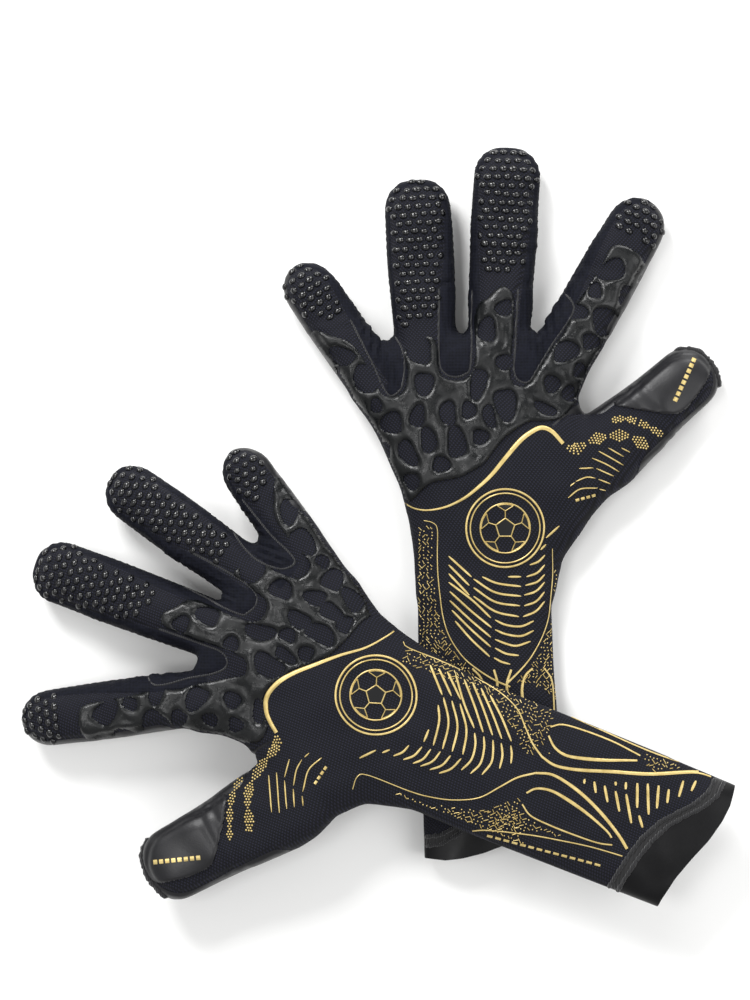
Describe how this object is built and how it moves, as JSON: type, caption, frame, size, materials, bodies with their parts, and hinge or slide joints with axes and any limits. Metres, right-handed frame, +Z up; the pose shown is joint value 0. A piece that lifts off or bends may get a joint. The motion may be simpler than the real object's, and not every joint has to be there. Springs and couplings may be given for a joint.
{
  "type": "goalkeeper gloves",
  "caption": "Pair of strapless goalkeeper gloves laid flat, backs up, one cuff over the other; the fingers, thumbs and wrists bend.",
  "frame": {"origin": "bottom centre of the box around the pair as it lies on a flat surface", "axes": "+Z up out of the backs of the hands; +Y along the left glove towards its fingertips; +X towards the left thumb"},
  "size_m": [0.3208, 0.3508, 0.0453],
  "materials": {
    "knit_fabric": "fine diagonal knit, matte",
    "mesh_fabric": "open mesh knit, matte",
    "latex_foam": "smooth latex foam, soft sheen",
    "web_rubber": "moulded, satin",
    "gold_print": "raised silicone print, satin gloss",
    "ribbed_binding": "ribbed elastic tape",
    "neoprene": "plain jersey-faced neoprene"
  },
  "bodies": {
    "left_cuff": {"left_cuff_back": "knit_fabric", "left_cuff_palm": "knit_fabric", "left_hem_binding": "ribbed_binding", "left_hem_band": "neoprene"},
    "left_hand": {"left_backhand_panel": "knit_fabric", "left_palm_latex": "latex_foam", "left_knuckle_web": "web_rubber", "left_emblem": "gold_print"},
    "left_little_base": {"left_little_base_back": "web_rubber", "left_little_base_palm": "latex_foam"},
    "left_little_tip": {"left_little_tip_back": "web_rubber", "left_little_tip_palm": "latex_foam"},
    "left_ring_base": {"left_ring_base_back": "mesh_fabric", "left_ring_base_palm": "latex_foam"},
    "left_ring_tip": {"left_ring_tip_back": "mesh_fabric", "left_ring_tip_palm": "latex_foam"},
    "left_middle_base": {"left_middle_base_back": "mesh_fabric", "left_middle_base_palm": "latex_foam"},
    "left_middle_tip": {"left_middle_tip_back": "mesh_fabric", "left_middle_tip_palm": "latex_foam"},
    "left_index_base": {"left_index_base_back": "web_rubber", "left_index_base_palm": "latex_foam"},
    "left_index_tip": {"left_index_tip_back": "web_rubber", "left_index_tip_palm": "latex_foam"},
    "left_thumb_base": {"left_thumb_base_back": "latex_foam", "left_thumb_base_palm": "latex_foam"},
    "left_thumb_tip": {"left_thumb_tip_back": "latex_foam", "left_thumb_tip_palm": "latex_foam"},
    "right_cuff": {"right_cuff_back": "knit_fabric", "right_cuff_palm": "knit_fabric", "right_hem_binding": "ribbed_binding", "right_hem_band": "neoprene"},
    "right_hand": {"right_backhand_panel": "knit_fabric", "right_palm_latex": "latex_foam", "right_knuckle_web": "web_rubber", "right_emblem": "gold_print"},
    "right_little_base": {"right_little_base_back": "web_rubber", "right_little_base_palm": "latex_foam"},
    "right_little_tip": {"right_little_tip_back": "web_rubber", "right_little_tip_palm": "latex_foam"},
    "right_ring_base": {"right_ring_base_back": "mesh_fabric", "right_ring_base_palm": "latex_foam"},
    "right_ring_tip": {"right_ring_tip_back": "mesh_fabric", "right_ring_tip_palm": "latex_foam"},
    "right_middle_base": {"right_middle_base_back": "mesh_fabric", "right_middle_base_palm": "latex_foam"},
    "right_middle_tip": {"right_middle_tip_back": "mesh_fabric", "right_middle_tip_palm": "latex_foam"},
    "right_index_base": {"right_index_base_back": "web_rubber", "right_index_base_palm": "latex_foam"},
    "right_index_tip": {"right_index_tip_back": "web_rubber", "right_index_tip_palm": "latex_foam"},
    "right_thumb_base": {"right_thumb_base_back": "latex_foam", "right_thumb_base_palm": "latex_foam"},
    "right_thumb_tip": {"right_thumb_tip_back": "latex_foam", "right_thumb_tip_palm": "latex_foam"}
  },
  "joints": [
    {"name": "left_wrist_bend", "type": "hinge", "parent": "left_cuff", "child": "left_hand", "pos_m": [0.05295, -0.02111, 0.01], "axis": [-1, 0, 0], "range_deg": [-30, 30], "stiffness_Nm_per_rad": 0.6},
    {"name": "left_little_knuckle", "type": "hinge", "parent": "left_hand", "child": "left_little_base", "pos_m": [-0.00265, 0.07249, 0.008], "axis": [-0.9563, -0.2924, 0], "range_deg": [-10, 80], "stiffness_Nm_per_rad": 0.08},
    {"name": "left_little_middle_joint", "type": "hinge", "parent": "left_little_base", "child": "left_little_tip", "pos_m": [-0.01814, 0.09461, 0.008], "axis": [-0.9563, -0.2924, 0], "range_deg": [0, 90], "stiffness_Nm_per_rad": 0.05},
    {"name": "left_ring_knuckle", "type": "hinge", "parent": "left_hand", "child": "left_ring_base", "pos_m": [0.02385, 0.08699, 0.008], "axis": [-0.9994, -0.0349, 0], "range_deg": [-10, 80], "stiffness_Nm_per_rad": 0.08},
    {"name": "left_ring_middle_joint", "type": "hinge", "parent": "left_ring_base", "child": "left_ring_tip", "pos_m": [0.02184, 0.12193, 0.008], "axis": [-0.9994, -0.0349, 0], "range_deg": [0, 90], "stiffness_Nm_per_rad": 0.05},
    {"name": "left_middle_knuckle", "type": "hinge", "parent": "left_hand", "child": "left_middle_base", "pos_m": [0.05795, 0.09249, 0.008], "axis": [-0.9994, 0.0349, 0], "range_deg": [-10, 80], "stiffness_Nm_per_rad": 0.08},
    {"name": "left_middle_middle_joint", "type": "hinge", "parent": "left_middle_base", "child": "left_middle_tip", "pos_m": [0.05999, 0.13144, 0.008], "axis": [-0.9994, 0.0349, 0], "range_deg": [0, 90], "stiffness_Nm_per_rad": 0.05},
    {"name": "left_index_knuckle", "type": "hinge", "parent": "left_hand", "child": "left_index_base", "pos_m": [0.09055, 0.08569, 0.008], "axis": [-0.9659, 0.2588, 0], "range_deg": [-10, 80], "stiffness_Nm_per_rad": 0.08},
    {"name": "left_index_middle_joint", "type": "hinge", "parent": "left_index_base", "child": "left_index_tip", "pos_m": [0.10784, 0.11612, 0.008], "axis": [-0.9659, 0.2588, 0], "range_deg": [0, 90], "stiffness_Nm_per_rad": 0.05},
    {"name": "left_thumb_base_joint", "type": "hinge", "parent": "left_hand", "child": "left_thumb_base", "pos_m": [0.10395, 0.03339, 0.008], "axis": [-0.6561, 0.7547, 0], "range_deg": [-10, 30], "stiffness_Nm_per_rad": 0.08},
    {"name": "left_thumb_tip_joint", "type": "hinge", "parent": "left_thumb_base", "child": "left_thumb_tip", "pos_m": [0.1281, 0.05439, 0.008], "axis": [-0.6561, 0.7547, 0], "range_deg": [0, 50], "stiffness_Nm_per_rad": 0.05},
    {"name": "right_glove_lift", "type": "slide", "parent": "left_cuff", "child": "right_cuff", "axis": [0, 0, 1], "range_m": [0, 0.15]},
    {"name": "right_wrist_bend", "type": "hinge", "parent": "right_cuff", "child": "right_hand", "pos_m": [0.01693, -0.09127, 0.0316], "axis": [-0.3616, -0.9323, 0], "range_deg": [-30, 30], "stiffness_Nm_per_rad": 0.6},
    {"name": "right_little_knuckle", "type": "hinge", "parent": "right_hand", "child": "right_little_base", "pos_m": [-0.03475, -0.00687, 0.0209], "axis": [-0.603, -0.7971, -0.0302], "range_deg": [-10, 80], "stiffness_Nm_per_rad": 0.08},
    {"name": "right_little_middle_joint", "type": "hinge", "parent": "right_little_base", "child": "right_little_tip", "pos_m": [-0.04881, 0.01245, 0.01868], "axis": [-0.603, -0.7971, -0.0302], "range_deg": [0, 90], "stiffness_Nm_per_rad": 0.05},
    {"name": "right_ring_knuckle", "type": "hinge", "parent": "right_hand", "child": "right_ring_base", "pos_m": [-0.06032, -0.02002, 0.01879], "axis": [-0.4719, -0.8816, -0.0134], "range_deg": [-10, 80], "stiffness_Nm_per_rad": 0.08},
    {"name": "right_ring_middle_joint", "type": "hinge", "parent": "right_ring_base", "child": "right_ring_tip", "pos_m": [-0.08873, 0.00008, 0.01507], "axis": [-0.4719, -0.8816, -0.0134], "range_deg": [0, 90], "stiffness_Nm_per_rad": 0.05},
    {"name": "right_middle_knuckle", "type": "hinge", "parent": "right_hand", "child": "right_middle_base", "pos_m": [-0.0773, -0.04539, 0.01806], "axis": [-0.3454, -0.9385, 0.0019], "range_deg": [-10, 80], "stiffness_Nm_per_rad": 0.08},
    {"name": "right_middle_middle_joint", "type": "hinge", "parent": "right_middle_base", "child": "right_middle_tip", "pos_m": [-0.11368, -0.03201, 0.01378], "axis": [-0.3454, -0.9385, 0.0019], "range_deg": [0, 90], "stiffness_Nm_per_rad": 0.05},
    {"name": "right_index_knuckle", "type": "hinge", "parent": "right_hand", "child": "right_index_base", "pos_m": [-0.08384, -0.07847, 0.0187], "axis": [-0.1095, -0.9936, 0.0284], "range_deg": [-10, 80], "stiffness_Nm_per_rad": 0.08},
    {"name": "right_index_middle_joint", "type": "hinge", "parent": "right_index_base", "child": "right_index_tip", "pos_m": [-0.11933, -0.08342, 0.01525], "axis": [-0.1095, -0.9936, 0.0284], "range_deg": [0, 90], "stiffness_Nm_per_rad": 0.05},
    {"name": "right_thumb_base_joint", "type": "hinge", "parent": "right_hand", "child": "right_thumb_base", "pos_m": [-0.0393, -0.12524, 0.02516], "axis": [0.4774, -0.8746, 0.0841], "range_deg": [-10, 30], "stiffness_Nm_per_rad": 0.08},
    {"name": "right_thumb_tip_joint", "type": "hinge", "parent": "right_thumb_base", "child": "right_thumb_tip", "pos_m": [-0.06897, -0.14167, 0.02276], "axis": [0.4774, -0.8746, 0.0841], "range_deg": [0, 50], "stiffness_Nm_per_rad": 0.05}
  ]
}
